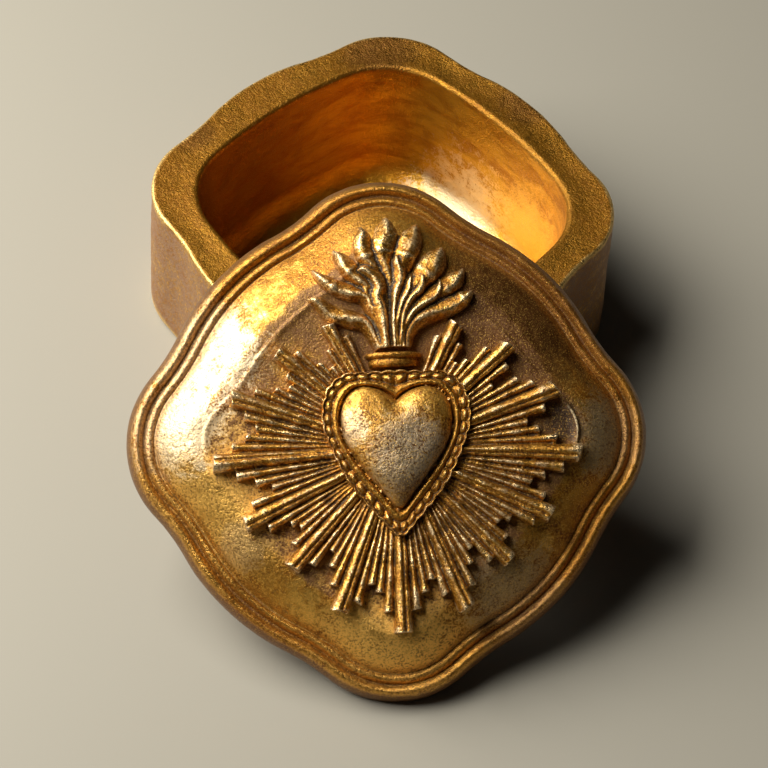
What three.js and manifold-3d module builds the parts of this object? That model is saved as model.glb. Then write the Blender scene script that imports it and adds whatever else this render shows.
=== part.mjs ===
// Votive box with a loose lid, leaning as it stands open on a table. Millimetres, +Z up.
// The origin is the centre of the box's underside. Corners lie on X and Y, the lid leans towards -Y.
import * as THREE from 'three';
import { mergeVertices } from 'three/addons/utils/BufferGeometryUtils.js';
import Module from 'manifold-3d';

// Box plan: a square with rounded corners, hollow shoulders and bulging sides
const HALF_FLAT = 49;             // centre to the middle of a side
const CORNER_REACH = 6;           // how much further out a corner stands than a side
const BULGE_R = 50;               // arc in the middle of each side
const CORNER_R = 20;              // arc of each corner
const HOLLOW_R = 52.5;            // hollow arc between the two

// Box body
const BOX_HEIGHT = 38;
const RIM_WALL = 11;              // wall thickness at the rim
const FOOT_SPREAD = 0.5;          // how much the outside widens from rim to foot
const FOOT_ROUND = 1.6;
const RIM_ROUND = 0.7;            // worn outer arris of the rim
const MOUTH_ROUND = 1.3;          // soft inner edge of the rim
const FLOOR_THICK = 3.6;
const CAVITY_DRAFT = 2.4;         // how much the cavity narrows from mouth to floor
const CAVITY_ROUND = 7;           // fillet between wall and floor
const MOUTH_CORNER_R = 19;
const MOUTH_BULGE_R = 110;

// Lid
const LID_OVERHANG = 3.5;         // lid edge beyond the box, all round
const LID_HEIGHT = 11.2;          // underside to plateau
const SIDE_HEIGHT = 4.6;          // edge of the lid, up to its arris
const SIDE_FLARE = 1.3;           // how far the foot of that edge stands out
const ROLL_WIDTH = 2;             // outer roll of the moulded edge
const ROLL_RISE = 0.7;
const GROOVE_WIDTH = 0.9;
const GROOVE_DEPTH = 0.6;
const BEAD_WIDTH = 1.9;           // inner bead of the moulded edge
const BEAD_RISE = 0.65;
const SLOPE_WIDTH = 12.1;         // swelling slope from the bead up to the plateau
const PLATEAU_REACH = 7.4;        // how much further out a plateau corner stands than a side
const PLATEAU_CORNER_R = 9;
const PANEL_DEPTH = 2.5;          // locating panel under the lid
const PANEL_PLAY = 0.7;           // panel to mouth, all round

// How the lid stands: on one corner, leaning on the rim
const LID_TILT = THREE.MathUtils.degToRad(33.5);
const LID_YAW = THREE.MathUtils.degToRad(7.5);
const LID_SHIFT = -3.8;           // sideways along the rim
const CLEARANCE = 0.3;            // between pieces that touch
const TABLE_CLEARANCE = 0.05;     // under the corner that the lid stands on

// Heart and its beaded frame
const ORNAMENT_SHIFT = 0.9;       // the ornament was set by hand, a little to one side
const HEART_CENTRE_Y = -3;
const HEART_HALF_WIDTH = 12.3;
const HEART_LOBE = 13.6;          // centre to the top of a lobe
const HEART_CLEFT = 10.4;         // centre to the notch between the lobes
const HEART_TIP = 14.4;           // centre down to the tip
const HEART_RISE = 5.6;
const HEART_VALLEY = 1.1;         // depth of the fold that runs down from the notch
const VALLEY_HALF_WIDTH = 2.2;
const FRAME_WIDTH = 4.1;
const FRAME_RISE = 2.2;
const FRAME_BEADS = 36;
const BEAD_SWELL = 0.55;
const SCALLOP = 0.22;             // wave of the frame's outer edge

// Sunburst
const DISC_THICK = 1.5;
const DISC_INSET = 0.7;           // disc edge inside the frame's edge
const CLUSTERS = 15;
const CLUSTER_PITCH = THREE.MathUtils.degToRad(21.8);
const RAY_REACH = 37.6;
const RAY_SWELL = 2.6;            // extra length to the sides and downwards
const RAY_TUCK = 5.6;             // length lost beside the flame
const RAY_STEP = 4.4;             // how much shorter each next ray of a cluster is
const RAY_ROOT = 8;
const RAY_WIDE = THREE.MathUtils.degToRad(5.4);
const RAY_NARROW = THREE.MathUtils.degToRad(4.2);
const RAY_RISE = 2.5;
const RAY_SHOULDER = 0.62;        // height of a ray's edges as a share of its ridge

// Collar and flame
const COLLAR_HALF_WIDTH = 6.1;
const COLLAR_LENGTH = 3.4;
const COLLAR_RISE = 4.2;
const TONGUES = 9;
const TONGUE_FAN = THREE.MathUtils.degToRad(14);
const TONGUE_LENGTH = 30.5;
const TONGUE_STEP = 2.1;          // how much shorter each next tongue is
const TONGUE_WIDTH = 5.4;
const TONGUE_NARROWING = 0.35;    // how much narrower each next tongue is
const TONGUE_RISE = 3.1;
const TONGUE_HOOK = 0.4;          // how far a tip bends off its tongue's lean, in radians
const FRONT_TONGUES = 4;
const FRONT_LENGTH = 17.5;
const STEM_HALF_WIDTH = 4.3;

const ARC_STEPS = 3;              // facets along each arc of an outline

const wasm = await Module();
wasm.setup();

// Outlines with four rounded corners on the axes. Each eighth is made of arcs that meet smoothly,
// given as [centre, radius, from, to, steps], and is mirrored and turned round.
const heading = (from, to) => Math.atan2(to.y - from.y, to.x - from.x);

function closeOutline(arcs, flat) {
  const eighth = [];
  for (const [centre, radius, from, to, steps] of arcs) {
    for (let i = 0; i < steps; i++) {
      const angle = THREE.MathUtils.lerp(from, to, i / steps);
      eighth.push(centre.clone().add(new THREE.Vector2(Math.cos(angle), Math.sin(angle)).multiplyScalar(radius)));
    }
  }
  const middle = new THREE.Vector2(1, 1).multiplyScalar(flat / Math.SQRT2);
  const mirrored = eighth.slice(1).reverse().map((p) => new THREE.Vector2(p.y, p.x));
  const quarter = [...eighth, middle, ...mirrored];
  const turn = (k) => quarter.map((p) => p.clone().rotateAround(new THREE.Vector2(), k * Math.PI / 2));
  return [0, 1, 2, 3].flatMap(turn);
}

// Wavy outline: corner, hollow shoulder, bulging side
function wavyOutline({ flat, corner, bulge, round, hollow }) {
  const bulgeCentre = new THREE.Vector2(1, 1).multiplyScalar((flat - bulge) / Math.SQRT2);
  const cornerCentre = new THREE.Vector2(corner - round, 0);
  const across = bulgeCentre.clone().sub(cornerCentre);
  const apart = across.length();
  across.normalize();
  const a = round + hollow;
  const b = bulge + hollow;
  const along = (apart * apart + a * a - b * b) / (2 * apart);
  const aside = Math.sqrt(a * a - along * along);
  const hollowCentre = cornerCentre.clone().addScaledVector(across, along)
    .add(new THREE.Vector2(across.y, -across.x).multiplyScalar(aside));
  const cornerEnd = heading(cornerCentre, hollowCentre);
  const bulgeStart = heading(bulgeCentre, hollowCentre);
  return closeOutline([
    [cornerCentre, round, 0, cornerEnd, ARC_STEPS],
    [hollowCentre, hollow, cornerEnd + Math.PI, bulgeStart + Math.PI, ARC_STEPS],
    [bulgeCentre, bulge, bulgeStart, Math.PI / 4, ARC_STEPS],
  ], flat);
}

// Soft outline: the corner arc runs straight into the bulging side
function softOutline({ flat, bulge, round }) {
  const offset = (flat - bulge) / Math.SQRT2;
  const bulgeCentre = new THREE.Vector2(offset, offset);
  const cornerCentre = new THREE.Vector2(offset + Math.sqrt((bulge - round) ** 2 - offset ** 2), 0);
  const join = heading(bulgeCentre, cornerCentre);
  return closeOutline([
    [cornerCentre, round, 0, join, ARC_STEPS],
    [bulgeCentre, bulge, join, Math.PI / 4, 2 * ARC_STEPS],
  ], flat);
}

const outline = (shape) => (shape.hollow ? wavyOutline(shape) : softOutline(shape));

// The same outline moved outwards by an even distance
function grow(shape, by) {
  const grown = { flat: shape.flat + by, bulge: shape.bulge + by, round: shape.round + by };
  return shape.hollow ? { ...grown, corner: shape.corner + by, hollow: shape.hollow - by } : grown;
}

const blend = (a, b, t) => Object.fromEntries(Object.keys(a).map((k) => [k, THREE.MathUtils.lerp(a[k], b[k], t)]));

const lift = (points, z) => points.map((p) => new THREE.Vector3(p.x, p.y, z));

// Skin over a stack of rings with equal counts, closed by a fan at each end
function loft(rings) {
  const count = rings[0].length;
  const positions = rings.flat().flatMap((p) => [p.x, p.y, p.z]);
  const middle = (ring) => ring.reduce((sum, p) => sum.add(p), new THREE.Vector3()).divideScalar(count);
  const first = rings.length * count;
  for (const ring of [rings[0], rings.at(-1)]) positions.push(...middle(ring).toArray());
  const index = [];
  for (let i = 0; i < count; i++) {
    const next = (i + 1) % count;
    index.push(first, next, i);
    for (let r = 0; r < rings.length - 1; r++) {
      const low = r * count;
      const high = low + count;
      index.push(low + i, low + next, high + next, low + i, high + next, high + i);
    }
    const last = (rings.length - 1) * count;
    index.push(first + 1, last + i, last + next);
  }
  const geometry = new THREE.BufferGeometry();
  geometry.setAttribute('position', new THREE.Float32BufferAttribute(positions, 3));
  geometry.setIndex(index);
  return geometry;
}

// Solids that can be joined and cut
function toSolid(geometry) {
  const bare = geometry.clone();
  bare.deleteAttribute('normal');
  bare.deleteAttribute('uv');
  const merged = mergeVertices(bare, 1e-5);
  const mesh = new wasm.Mesh({
    numProp: 3,
    vertProperties: new Float32Array(merged.getAttribute('position').array),
    triVerts: new Uint32Array(merged.index.array),
  });
  return new wasm.Manifold(mesh);
}

function fromSolid(solid) {
  const mesh = solid.getMesh();
  const geometry = new THREE.BufferGeometry();
  geometry.setAttribute('position', new THREE.BufferAttribute(new Float32Array(mesh.vertProperties), 3));
  geometry.setIndex(new THREE.BufferAttribute(new Uint32Array(mesh.triVerts), 1));
  return geometry;
}

const join = (solids) => solids.reduce((sum, solid) => sum.add(solid));

// Steps along a quarter turn, as shares of its width and of its height
function quarterTurn(steps, visit) {
  for (let i = 0; i <= steps; i++) {
    const angle = (i / steps) * Math.PI / 2;
    visit(Math.sin(angle), 1 - Math.cos(angle));
  }
}

// Box body
const BOX = { flat: HALF_FLAT, corner: HALF_FLAT + CORNER_REACH, bulge: BULGE_R, round: CORNER_R, hollow: HOLLOW_R };
const MOUTH = { flat: HALF_FLAT - RIM_WALL, bulge: MOUTH_BULGE_R, round: MOUTH_CORNER_R };

// Rim as steps of [offset from the plan, height], used by the body and by the leaning lid
const rimSteps = [];
quarterTurn(2, (out, up) => rimSteps.push([-RIM_ROUND * up, BOX_HEIGHT - RIM_ROUND * (1 - out)]));

function boxBody() {
  const rings = [];
  const outer = (by, z) => rings.push(lift(outline(grow(BOX, by)), z));
  const inner = (by, z) => rings.push(lift(outline(grow(MOUTH, by)), z));
  quarterTurn(2, (out, up) => outer(FOOT_SPREAD - FOOT_ROUND * (1 - out), FOOT_ROUND * up));
  rimSteps.forEach(([by, z]) => outer(by, z));
  quarterTurn(3, (out, down) => inner(MOUTH_ROUND * (1 - out), BOX_HEIGHT - MOUTH_ROUND * down));
  const floor = FLOOR_THICK;
  quarterTurn(4, (out, up) => {
    const inset = CAVITY_DRAFT + CAVITY_ROUND * up;
    inner(-inset, floor + CAVITY_ROUND * (1 - out));
  });
  return loft(rings);
}

// Lid: steps of [inset from the lid's edge, height] up to the plateau
const LID = grow(BOX, LID_OVERHANG);
const mouldingWidth = SIDE_FLARE + ROLL_WIDTH + GROOVE_WIDTH + BEAD_WIDTH;
const plateauFlat = LID.flat - mouldingWidth - SLOPE_WIDTH;
const PLATEAU = {
  flat: plateauFlat,
  corner: plateauFlat + PLATEAU_REACH,
  bulge: LID.bulge,
  round: PLATEAU_CORNER_R,
  hollow: LID.hollow + mouldingWidth + SLOPE_WIDTH,
};
const SLOPE_FOOT = grow(LID, -mouldingWidth);
const grooveFloor = SIDE_HEIGHT - GROOVE_DEPTH + 0.25;

function lidSide() {
  const steps = [[0.35, 0], [0, 0.4]];
  for (const t of [0.45, 0.8, 1]) steps.push([SIDE_FLARE * t * t, SIDE_HEIGHT * t]);
  return steps;
}

function lidMoulding() {
  const steps = [];
  const hump = (start, width, base, rise, count) => {
    for (let i = 1; i <= count; i++) {
      steps.push([start + (width * i) / count, base + rise * Math.sin((Math.PI * i) / count)]);
    }
  };
  hump(SIDE_FLARE, ROLL_WIDTH, SIDE_HEIGHT, ROLL_RISE, 4);
  steps.push([SIDE_FLARE + ROLL_WIDTH + GROOVE_WIDTH / 2, grooveFloor]);
  steps.push([SIDE_FLARE + ROLL_WIDTH + GROOVE_WIDTH, SIDE_HEIGHT]);
  hump(SIDE_FLARE + ROLL_WIDTH + GROOVE_WIDTH, BEAD_WIDTH, SIDE_HEIGHT, BEAD_RISE, 3);
  return steps;
}

const slopeHeight = (t) => SIDE_HEIGHT + (LID_HEIGHT - SIDE_HEIGHT) * Math.sin((Math.PI / 2) * t) ** 0.85;

function lidTopRings(raise) {
  const rings = [...lidSide(), ...lidMoulding()].map(([inset, z]) => lift(outline(grow(LID, -inset)), z + raise));
  const steps = 5;
  for (let i = 1; i <= steps; i++) {
    rings.push(lift(outline(blend(SLOPE_FOOT, PLATEAU, i / steps)), slopeHeight(i / steps) + raise));
  }
  return rings;
}

function lid() {
  const panel = grow(MOUTH, -PANEL_PLAY);
  const below = [
    lift(outline(grow(panel, -0.6)), -PANEL_DEPTH),
    lift(outline(panel), 0.6 - PANEL_DEPTH),
    lift(outline(panel), 0),
  ];
  return loft([...below, ...lidTopRings(0)]);
}

// What the ornament must stay above, in its own place: the lid's top, raised by the clearance
const raisedLid = loft([lift(outline(LID), -PANEL_DEPTH - 5), ...lidTopRings(CLEARANCE).slice(1)]);
const lidCutter = toSolid(raisedLid.translate(-ORNAMENT_SHIFT, 0, 0));

// Height of the lid's top at a place, from how far it lies between the slope's foot and the plateau
function ringRadius(ring, angle) {
  const turn = THREE.MathUtils.euclideanModulo(angle, Math.PI * 2);
  const headings = ring.map((p) => THREE.MathUtils.euclideanModulo(Math.atan2(p.y, p.x), Math.PI * 2));
  const after = headings.findIndex((h) => h > turn);
  const j = after < 0 ? 0 : after;
  const i = (j + ring.length - 1) % ring.length;
  const span = THREE.MathUtils.euclideanModulo(headings[j] - headings[i], Math.PI * 2);
  const share = THREE.MathUtils.euclideanModulo(turn - headings[i], Math.PI * 2) / span;
  return THREE.MathUtils.lerp(ring[i].length(), ring[j].length(), share);
}

const plateauRing = outline(PLATEAU);
const footRing = outline(SLOPE_FOOT);
function lidTopAt(x, y) {
  const angle = Math.atan2(y, x);
  const low = ringRadius(footRing, angle);
  const high = ringRadius(plateauRing, angle);
  const t = (low - Math.hypot(x, y)) / (low - high);
  return slopeHeight(THREE.MathUtils.clamp(t, 0, 1));
}

// Heart-shaped ring of points, from the notch clockwise, seen from above
function heartRing({ halfWidth, lobe, cleft, tip }, count) {
  const half = new THREE.Path();
  half.moveTo(0, cleft);
  half.bezierCurveTo(halfWidth * 0.12, (lobe + cleft) / 2, halfWidth * 0.3, lobe, halfWidth * 0.55, lobe);
  half.bezierCurveTo(halfWidth * 0.82, lobe, halfWidth, lobe * 0.78, halfWidth, lobe * 0.44);
  half.bezierCurveTo(halfWidth, -tip * 0.06, halfWidth * 0.42, -tip * 0.44, 0, -tip);
  const right = half.getSpacedPoints(count / 2).slice(0, -1);
  const left = right.map((p) => new THREE.Vector2(-p.x, p.y)).reverse();
  left.pop();
  const ring = [...right, new THREE.Vector2(0, -tip), ...left];
  return ring.reverse().map((p) => new THREE.Vector2(p.x, p.y + HEART_CENTRE_Y));
}

const HEART = { halfWidth: HEART_HALF_WIDTH, lobe: HEART_LOBE, cleft: HEART_CLEFT, tip: HEART_TIP };
const frameShape = (width) => ({
  halfWidth: HEART_HALF_WIDTH + width,
  lobe: HEART_LOBE + width * 0.82,
  cleft: THREE.MathUtils.lerp(HEART_CLEFT, HEART_LOBE + FRAME_WIDTH * 0.92, Math.min(1, width / FRAME_WIDTH)),
  tip: HEART_TIP + width * 1.2,
});

const discFoot = LID_HEIGHT + CLEARANCE;
const discTop = discFoot + DISC_THICK;
const castFoot = discTop + CLEARANCE;
const frameTopY = HEART_CENTRE_Y + HEART_LOBE + FRAME_WIDTH * 0.92 + SCALLOP;

function heart() {
  const rim = heartRing(HEART, 64);
  const middle = new THREE.Vector2(0, HEART_CENTRE_Y);
  const rings = [lift(rim, castFoot)];
  const steps = 7;
  const fold = (p) => HEART_VALLEY * Math.exp(-((p.x / VALLEY_HALF_WIDTH) ** 2))
    * THREE.MathUtils.smoothstep(p.y - HEART_CENTRE_Y, 0, HEART_CLEFT);
  for (let i = 0; i < steps; i++) {
    const angle = (i / steps) * Math.PI / 2;
    const z = castFoot + HEART_RISE * (0.24 + 0.76 * Math.sin(angle));
    const ring = rim.map((p) => middle.clone().lerp(p, Math.cos(angle)));
    rings.push(ring.map((p) => new THREE.Vector3(p.x, p.y, z - fold(p) * Math.sin(angle))));
  }
  return loft(rings);
}

// Frame: rings from the inside over the top to the outside and back under
function heartFrame() {
  const count = FRAME_BEADS * 4;
  const wave = (i) => Math.cos((2 * Math.PI * i) / 4);
  const ring = (width, z, swell = 0, scallop = 0) =>
    heartRing(frameShape(width), count).map((p, i) => {
      const out = p.clone().sub(new THREE.Vector2(0, HEART_CENTRE_Y)).normalize().multiplyScalar(scallop * wave(i));
      return new THREE.Vector3(p.x + out.x, p.y + out.y, z + swell * Math.max(0, wave(i)));
    });
  const w = FRAME_WIDTH;
  const h = castFoot + FRAME_RISE;
  const rings = [
    ring(w * 0.1, castFoot),
    ring(w, castFoot, 0, SCALLOP),
    ring(w, h - 1.1, 0, SCALLOP),
    ring(w * 0.9, h - 0.6),
    ring(w * 0.8, h - 1),
    ring(w * 0.66, h - BEAD_SWELL, BEAD_SWELL),
    ring(w * 0.48, h - 0.95),
    ring(w * 0.26, h),
    ring(w * 0.1, h - 0.5),
  ];
  return closeLoop(rings);
}

// Skin over rings that close on themselves like a tyre
function closeLoop(rings) {
  const count = rings[0].length;
  const index = [];
  for (let r = 0; r < rings.length; r++) {
    const low = r * count;
    const high = ((r + 1) % rings.length) * count;
    for (let i = 0; i < count; i++) {
      const next = (i + 1) % count;
      index.push(low + i, low + next, high + next, low + i, high + next, high + i);
    }
  }
  const geometry = new THREE.BufferGeometry();
  const positions = rings.flat().flatMap((p) => [p.x, p.y, p.z]);
  geometry.setAttribute('position', new THREE.Float32BufferAttribute(positions, 3));
  geometry.setIndex(index);
  return geometry;
}

// One ray: a ridged wedge that widens outwards, seen along its heading from the straight-down ray
function ray(heading, spread, reach) {
  const section = (radius, rise) => {
    const half = radius * Math.tan(spread / 2);
    const foot = LID_HEIGHT - 2.5;
    const top = discFoot + rise;
    const shoulder = discFoot + rise * RAY_SHOULDER;
    return [[-half, foot], [half, foot], [half, shoulder], [0, top], [-half, shoulder]].map(([side, z]) => {
      const along = new THREE.Vector2(Math.sin(heading), -Math.cos(heading));
      const spot = along.clone().multiplyScalar(radius).add(new THREE.Vector2(-along.y, along.x).multiplyScalar(side));
      return new THREE.Vector3(spot.x, spot.y + HEART_CENTRE_Y, z);
    });
  };
  const near = section(RAY_ROOT, RAY_RISE * 0.8);
  const far = section(reach, RAY_RISE);
  return toSolid(loft([near, far]));
}

function sunburst() {
  const rays = [];
  const last = (CLUSTERS - 1) / 2;
  for (let k = -last; k <= last; k++) {
    const heading = k * CLUSTER_PITCH;
    const tuck = RAY_TUCK * (Math.abs(k) / last) ** 10;
    const reach = RAY_REACH + RAY_SWELL * Math.cos(4 * heading) - tuck;
    for (let s = -2; s <= 2; s++) {
      const apart = Math.abs(s);
      const turn = heading + Math.sign(s) * ((RAY_WIDE - RAY_NARROW) / 2 + apart * RAY_NARROW);
      const clearOfFlame = Math.abs(turn) < last * CLUSTER_PITCH + RAY_WIDE;
      if (clearOfFlame) rays.push(ray(turn, (s === 0 ? RAY_WIDE : RAY_NARROW) * 1.04, reach - RAY_STEP * apart));
    }
  }
  const disc = heartRing(frameShape(FRAME_WIDTH - DISC_INSET), 72);
  const plate = toSolid(loft([lift(disc, discFoot), lift(disc, discTop)]));
  const pocket = heartRing(frameShape(FRAME_WIDTH + SCALLOP + CLEARANCE), 72);
  const cutter = toSolid(loft([lift(pocket, discTop), lift(pocket, castFoot + FRAME_RISE + RAY_RISE)]));
  return fromSolid(join(rays).subtract(cutter).add(plate).subtract(lidCutter));
}

// Collar: two turned rings across the neck of the heart, flattened and cut level below
const collarFootY = frameTopY + CLEARANCE;
function collar() {
  const profile = [new THREE.Vector2(0, 0)];
  const ringLength = COLLAR_LENGTH / 2;
  for (const [start, size] of [[0, 1], [ringLength, 0.97]]) {
    for (let i = 0; i <= 4; i++) {
      const angle = (i / 4) * Math.PI;
      const radius = COLLAR_HALF_WIDTH * size - (ringLength / 2) * (1 - Math.sin(angle)) * 0.8;
      profile.push(new THREE.Vector2(radius, start + ringLength * (0.5 - 0.46 * Math.cos(angle))));
    }
  }
  profile.push(new THREE.Vector2(0, COLLAR_LENGTH));
  const turned = new THREE.LatheGeometry(profile, 24);
  turned.scale(1, 1, COLLAR_RISE / COLLAR_HALF_WIDTH);
  turned.translate(0, collarFootY, discFoot);
  return fromSolid(toSolid(turned).subtract(lidCutter));
}

// One tongue of flame: a leaf swept along a curve on the lid's top, with a ridge along it
const flameRoot = collarFootY + COLLAR_LENGTH + CLEARANCE;
function tongue({ lean, length, width, rise, rootX, hook }) {
  const root = new THREE.Vector2(rootX, flameRoot);
  const tip = new THREE.Vector2(Math.sin(lean), Math.cos(lean)).multiplyScalar(length).add(new THREE.Vector2(0, flameRoot));
  const start = root.clone().add(new THREE.Vector2(0, length * 0.42));
  const end = tip.clone().sub(new THREE.Vector2(Math.sin(lean + hook), Math.cos(lean + hook)).multiplyScalar(length * 0.36));
  const spine = new THREE.CubicBezierCurve(root, start, end, tip);
  const stations = 9;
  const rings = [];
  for (let i = 0; i <= stations; i++) {
    const t = i / stations;
    const spot = spine.getPoint(t);
    const along = spine.getTangent(t);
    const across = new THREE.Vector2(along.y, -along.x);
    const leaf = 0.45 + 0.55 * THREE.MathUtils.smoothstep(t, 0.15, 0.65);
    const taper = Math.sqrt(1 - 0.97 * t ** 4);
    const half = (width / 2) * leaf * taper;
    const ground = lidTopAt(spot.x + ORNAMENT_SHIFT, spot.y);
    const top = ground + CLEARANCE + rise * (1 - 0.45 * t) * Math.max(0.3, taper);
    const edge = ground + CLEARANCE + (top - ground - CLEARANCE) * 0.45;
    const section = [[-1, ground - 2.5], [-1, edge], [-0.22, top], [0.22, top - 0.25], [1, edge], [1, ground - 2.5]];
    rings.push(section.map(([s, z]) => {
      const p = spot.clone().addScaledVector(across, s * half);
      return new THREE.Vector3(p.x, p.y, z);
    }));
  }
  return toSolid(loft(rings));
}

function flame() {
  const parts = [];
  const last = (TONGUES - 1) / 2;
  for (let k = -last; k <= last; k++) {
    parts.push(tongue({
      lean: k * TONGUE_FAN,
      length: TONGUE_LENGTH - TONGUE_STEP * Math.abs(k),
      width: TONGUE_WIDTH - TONGUE_NARROWING * Math.abs(k),
      rise: TONGUE_RISE,
      rootX: (k / last) * (STEM_HALF_WIDTH - TONGUE_WIDTH * 0.25),
      hook: Math.sign(k) * (k % 2 ? -TONGUE_HOOK : TONGUE_HOOK),
    }));
  }
  for (let j = 0; j < FRONT_TONGUES; j++) {
    const side = j - (FRONT_TONGUES - 1) / 2;
    parts.push(tongue({
      lean: side * TONGUE_FAN * 1.5 + 0.05,
      length: FRONT_LENGTH - 1.2 * Math.abs(side),
      width: TONGUE_WIDTH * 0.8,
      rise: TONGUE_RISE + 1.3,
      rootX: side * STEM_HALF_WIDTH * 0.4,
      hook: Math.sign(side) * TONGUE_HOOK,
    }));
  }
  return fromSolid(join(parts).subtract(lidCutter));
}

// Finishes
const gilt = (color, roughness) => new THREE.MeshStandardMaterial({ color, roughness, metalness: 0.85, flatShading: true });
const giltBody = gilt(0xa8742e, 0.42);
const giltLid = gilt(0xb07c34, 0.4);
const giltCast = gilt(0xb98a45, 0.38);
const giltHeart = gilt(0xa78a5a, 0.36);

function piece(name, geometry, material) {
  const mesh = new THREE.Mesh(geometry, material);
  mesh.name = name;
  return mesh;
}

// Where the lid rests: its foot just clears the table and its panel just clears the rim
function standLid(group) {
  const sin = Math.sin(LID_TILT);
  const cos = Math.cos(LID_TILT);
  const reach = Math.max(...lidSide().map(([inset, z]) => (LID.corner - inset) * sin - z * cos));
  const height = reach + TABLE_CLEARANCE;
  const arris = Math.max(...rimSteps.map(([by, z]) => {
    const support = (BOX.corner - BOX.round) * Math.cos(LID_YAW) + BOX.round + by;
    return support * sin + z * cos;
  }));
  const forward = (arris + PANEL_DEPTH + CLEARANCE - height * cos) / sin;
  group.position.set(
    forward * Math.sin(LID_YAW) + LID_SHIFT * Math.cos(LID_YAW),
    -forward * Math.cos(LID_YAW) + LID_SHIFT * Math.sin(LID_YAW),
    height,
  );
  group.rotation.set(LID_TILT, 0, LID_YAW, 'ZYX');
}

const ornament = new THREE.Group();
ornament.position.x = ORNAMENT_SHIFT;
ornament.add(
  piece('sunburst', sunburst(), giltCast),
  piece('heart_frame', heartFrame(), giltCast),
  piece('heart', heart(), giltHeart),
  piece('flame_collar', collar(), giltCast),
  piece('flame', flame(), giltCast),
);

const leaning = new THREE.Group();
standLid(leaning);
leaning.add(piece('lid', lid(), giltLid), ornament);

const votiveBox = new THREE.Group();
votiveBox.add(piece('box_body', boxBody(), giltBody), leaning);

export default votiveBox;
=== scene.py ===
"""A gilded votive box, open, with its lid leaning on the rim."""
import math
import random

import bmesh
import bpy
from mathutils import Matrix, Vector, noise
from mathutils.bvhtree import BVHTree
from mathutils.geometry import interpolate_bezier


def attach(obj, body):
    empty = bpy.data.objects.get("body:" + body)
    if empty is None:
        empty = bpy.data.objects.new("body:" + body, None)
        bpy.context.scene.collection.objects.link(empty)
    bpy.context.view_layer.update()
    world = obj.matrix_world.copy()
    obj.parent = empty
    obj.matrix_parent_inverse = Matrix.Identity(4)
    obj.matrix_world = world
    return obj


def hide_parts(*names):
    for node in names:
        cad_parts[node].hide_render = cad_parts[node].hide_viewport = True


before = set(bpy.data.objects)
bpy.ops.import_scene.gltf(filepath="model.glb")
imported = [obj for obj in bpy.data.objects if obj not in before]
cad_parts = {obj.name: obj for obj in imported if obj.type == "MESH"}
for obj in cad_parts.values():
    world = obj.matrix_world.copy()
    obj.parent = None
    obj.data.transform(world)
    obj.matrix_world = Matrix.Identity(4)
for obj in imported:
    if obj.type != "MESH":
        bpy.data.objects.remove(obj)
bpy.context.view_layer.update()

# Sizes in millimetres; pieces are shaped in millimetres and set in place in metres
MM = 0.001

# Box plan and body
HALF_FLAT = 49.0
CORNER_REACH = 6.0
BULGE_R = 50.0
CORNER_R = 20.0
HOLLOW_R = 52.5
BOX_HEIGHT = 38.0
RIM_WALL = 11.0
RIM_ROUND = 0.7
RIM_DISH = 0.25
FOOT_SPREAD = 0.5
FOOT_ROUND = 1.6
MOUTH_ROUND = 1.3
MOUTH_CORNER_R = 19.0
MOUTH_BULGE_R = 110.0
FLOOR_THICK = 3.6
CAVITY_DRAFT = 2.4
CAVITY_ROUND = 7.0

# Lid
LID_OVERHANG = 3.5
LID_HEIGHT = 11.2
SIDE_HEIGHT = 4.6
SIDE_FLARE = 1.3
ROLL_WIDTH = 2.0
ROLL_RISE = 0.7
GROOVE_WIDTH = 0.9
GROOVE_DEPTH = 0.6
BEAD_WIDTH = 1.9
BEAD_RISE = 0.65
SLOPE_WIDTH = 12.1
PLATEAU_REACH = 7.4
PLATEAU_CORNER_R = 9.0
PANEL_DEPTH = 2.5
PANEL_PLAY = 0.7
LID_TILT = math.radians(33.5)
LID_YAW = math.radians(7.5)
LID_SHIFT = -3.8

# Room left between pieces, above the table, and between the finished surface and the solids' outline
CLEARANCE = 0.3
TABLE_CLEARANCE = 0.05
SKIN = 0.2

# Lower edge of the lid, as steps of (inset, height)
LID_FOOT = ((0.35, 0.0), (0.1, 0.12), (0.0, 0.4))

# Ornament
ORNAMENT_SHIFT = 0.9
HEART_CENTRE_Y = -3.0
HEART_HALF_WIDTH = 12.3
HEART_LOBE = 13.6
HEART_CLEFT = 10.4
HEART_TIP = 14.4
HEART_RISE = 5.6
FRAME_WIDTH = 4.1
FRAME_BEADS = 36
FRAME_TOP_SHARE = 0.92
FRAME_WAVE = 0.22
DISC_THICK = 1.5
CLUSTERS = 15
CLUSTER_PITCH = math.radians(21.8)
RAY_REACH = 37.6
RAY_SWELL = 2.6
RAY_TUCK = 5.6
RAY_STEP = 4.4
RAY_ROOT = 8.0
RAY_RISE = 2.5
COLLAR_HALF_WIDTH = 6.1
COLLAR_LENGTH = 3.4
COLLAR_RISE = 4.2

MOULDING = SIDE_FLARE + ROLL_WIDTH + GROOVE_WIDTH + BEAD_WIDTH
PLATE_FOOT = LID_HEIGHT + CLEARANCE
PLATE_TOP = PLATE_FOOT + DISC_THICK
CAST_FOOT = PLATE_TOP + CLEARANCE
FRAME_TOP_Y = HEART_CENTRE_Y + HEART_LOBE + FRAME_WIDTH * FRAME_TOP_SHARE + FRAME_WAVE
COLLAR_FOOT_Y = FRAME_TOP_Y + CLEARANCE


# Plans: outlines with four rounded corners on the axes

def heading(start, end):
    """Angle of the line from start to end."""
    return math.atan2(end[1] - start[1], end[0] - start[0])


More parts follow.
